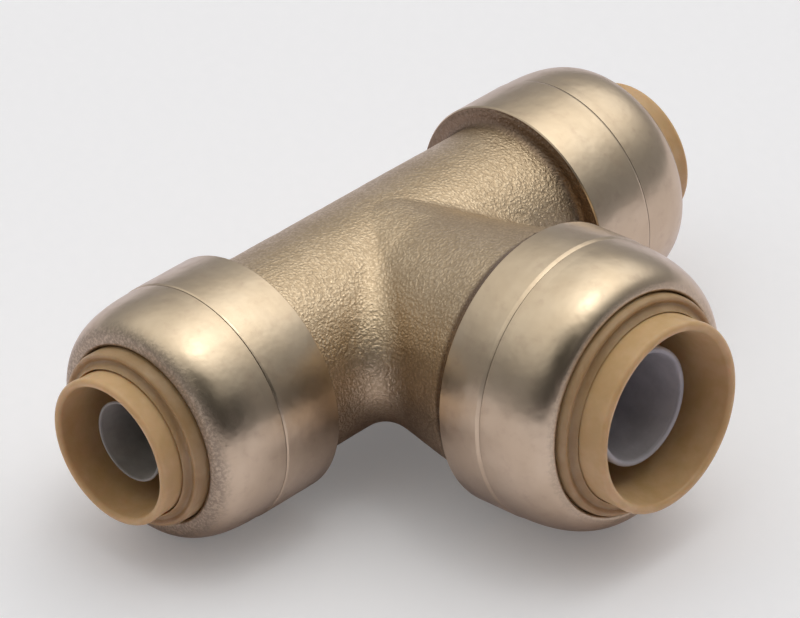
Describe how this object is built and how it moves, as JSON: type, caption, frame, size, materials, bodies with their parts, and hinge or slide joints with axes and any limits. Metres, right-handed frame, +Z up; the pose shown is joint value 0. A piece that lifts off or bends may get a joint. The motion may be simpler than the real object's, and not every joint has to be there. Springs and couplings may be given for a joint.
{
  "type": "push to connect tee fitting",
  "caption": "Brass push to connect reducing tee for copper, CPVC or PEX tube, with end caps, release collars, grab rings, seals and tube liners.",
  "frame": {"origin": "centre of the whole tee's box. The run's axis is parallel to X, 12.4 mm behind the origin at y = +0.0124, and crosses the branch's axis there", "axes": "+X along the run to its right-hand port; -Y along the branch, out of its port; +Z up, square to both"},
  "size_m": [0.0732, 0.0492, 0.028],
  "materials": {
    "cast_brass": "rough cast between the bells, turned bells, dezincification-resistant tan tone",
    "drawn_brass": "drawn and turned, satin",
    "tan_polymer": "satin moulded",
    "stainless_steel": "stamped spring steel",
    "dark_polymer": "satin moulded",
    "black_rubber": "EPDM with a light grease",
    "grey_polymer": "satin moulded"
  },
  "bodies": {
    "fitting": {"tee_body": "cast_brass", "end_cap_left": "drawn_brass", "end_cap_right": "drawn_brass", "end_cap_branch": "drawn_brass", "collar_retainer_left": "tan_polymer", "collar_retainer_right": "tan_polymer", "collar_retainer_branch": "tan_polymer", "o_ring_protector_left": "dark_polymer", "o_ring_protector_right": "dark_polymer", "o_ring_protector_branch": "dark_polymer", "o_ring_left": "black_rubber", "o_ring_right": "black_rubber", "o_ring_branch": "black_rubber", "tube_liner_left": "grey_polymer", "tube_liner_right": "grey_polymer", "tube_liner_branch": "grey_polymer"},
    "grip_left": {"grab_ring_left": "stainless_steel"},
    "collar_left": {"release_collar_left": "tan_polymer"},
    "grip_right": {"grab_ring_right": "stainless_steel"},
    "collar_right": {"release_collar_right": "tan_polymer"},
    "grip_branch": {"grab_ring_branch": "stainless_steel"},
    "collar_branch": {"release_collar_branch": "tan_polymer"}
  },
  "joints": [
    {"name": "left_grip_spin", "type": "hinge", "parent": "fitting", "child": "grip_left", "pos_m": [0, 0.0124, 0], "axis": [-1, 0, 0], "continuous": true},
    {"name": "left_collar_press", "type": "slide", "parent": "grip_left", "child": "collar_left", "axis": [1, 0, 0], "range_m": [0, 0.002]},
    {"name": "right_grip_spin", "type": "hinge", "parent": "fitting", "child": "grip_right", "pos_m": [0, 0.0124, 0], "axis": [1, 0, 0], "continuous": true},
    {"name": "right_collar_press", "type": "slide", "parent": "grip_right", "child": "collar_right", "axis": [-1, 0, 0], "range_m": [0, 0.002]},
    {"name": "branch_grip_spin", "type": "hinge", "parent": "fitting", "child": "grip_branch", "pos_m": [0, 0.0124, 0], "axis": [0, -1, 0], "continuous": true},
    {"name": "branch_collar_press", "type": "slide", "parent": "grip_branch", "child": "collar_branch", "axis": [0, 1, 0], "range_m": [0, 0.002]}
  ]
}
